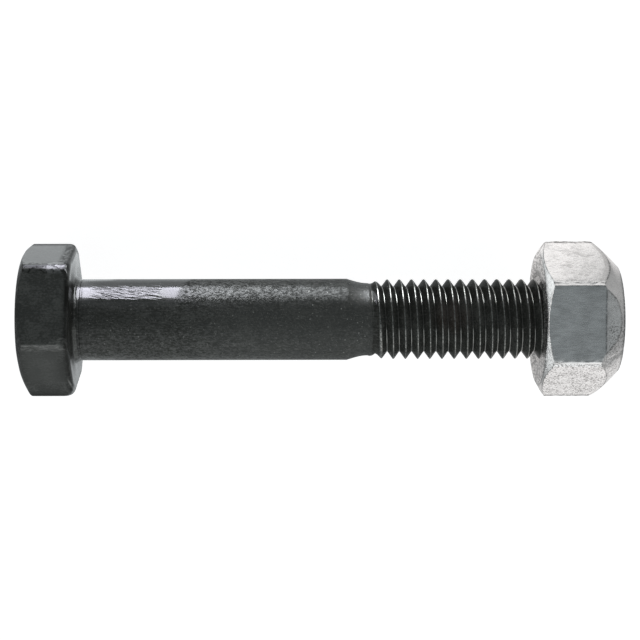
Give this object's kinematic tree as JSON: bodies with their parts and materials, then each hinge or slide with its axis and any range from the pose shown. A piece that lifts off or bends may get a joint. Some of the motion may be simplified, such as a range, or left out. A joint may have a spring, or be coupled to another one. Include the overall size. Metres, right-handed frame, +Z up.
{
  "type": "bolt with lock nut",
  "caption": "Hexagon head bolt with a plain shank and a rolled thread, carrying an all-metal lock nut with a squeezed cone that keeps a clamped joint from working loose.",
  "frame": {"origin": "on the bolt's axis, at the bearing face under the head", "axes": "+X along the bolt from the head to the tip, +Z up as the bolt lies on its side"},
  "size_m": [0.0729, 0.0192, 0.0186],
  "materials": {
    "black_steel": "cold forged, black oxide, oiled",
    "zinc_steel": "zinc plated over a rough forged surface"
  },
  "bodies": {
    "bolt": {"hex_bolt": "black_steel"},
    "nut": {"lock_nut": "zinc_steel"}
  },
  "joints": [
    {"name": "nut_travel", "type": "slide", "parent": "bolt", "child": "nut", "axis": [1, 0, 0], "range_m": [-0.018, 0.009]}
  ]
}
